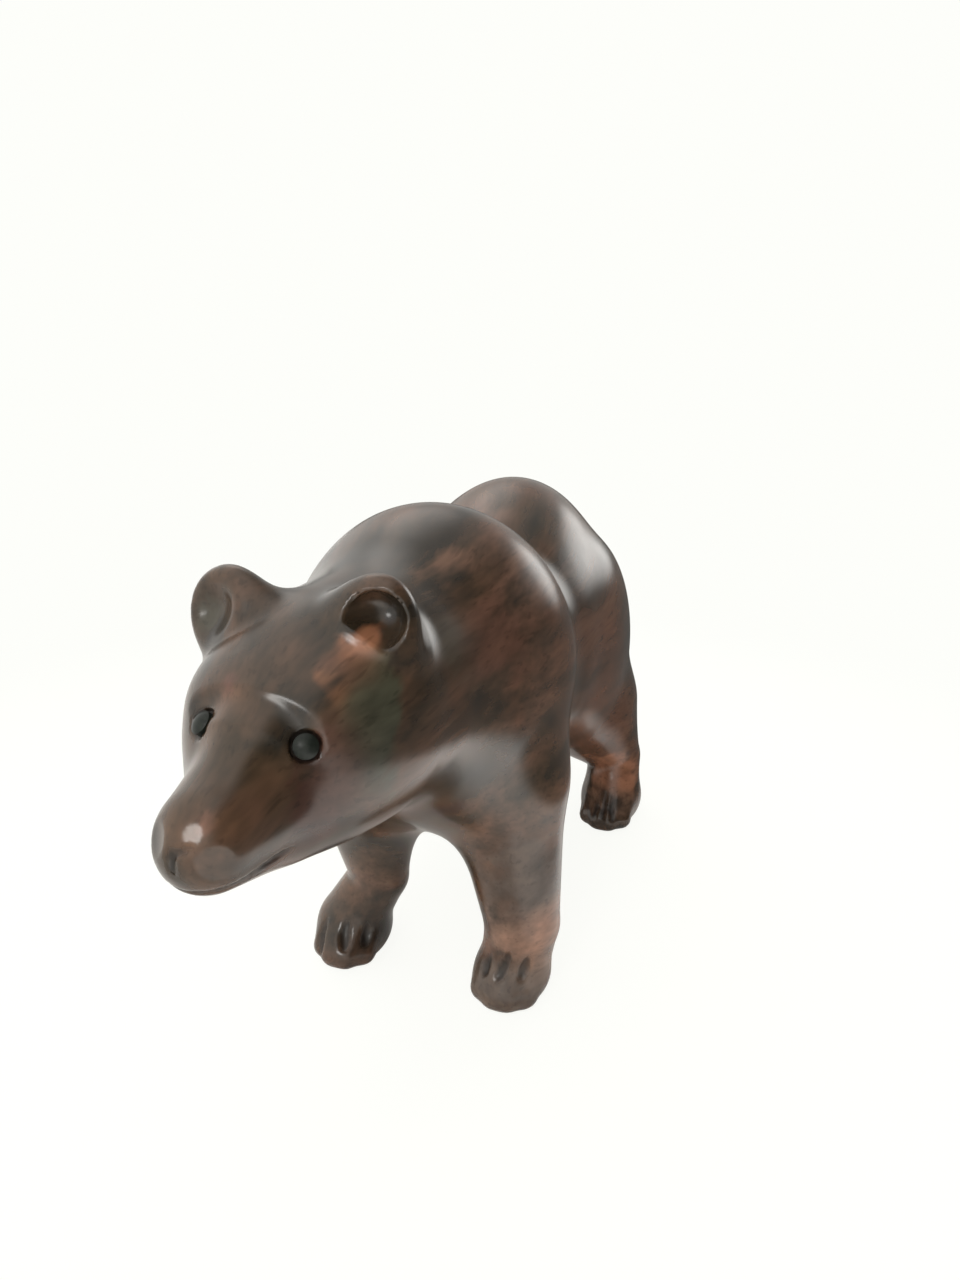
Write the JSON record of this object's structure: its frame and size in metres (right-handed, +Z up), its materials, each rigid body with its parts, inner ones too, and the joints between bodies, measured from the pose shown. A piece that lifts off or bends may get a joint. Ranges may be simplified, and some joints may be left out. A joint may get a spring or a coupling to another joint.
{
  "type": "carved wooden bear figurine",
  "caption": "Free-standing bear carved from one block of polished dark hardwood, with inset black eyes, for display on a shelf or table",
  "frame": {"origin": "on the ground, under the centre of the overall box", "axes": "+Z up, +Y from nose to rump, +X towards the bear's own left side"},
  "size_m": [0.0772, 0.2023, 0.1177],
  "materials": {
    "polished_wood": "hand-polished and waxed dense dark hardwood with reddish and near-black streaks",
    "eye_black": "smooth glossy black bead"
  },
  "bodies": {
    "root": {"carved_body": "polished_wood", "eye_left": "eye_black", "eye_right": "eye_black"}
  },
  "joints": []
}
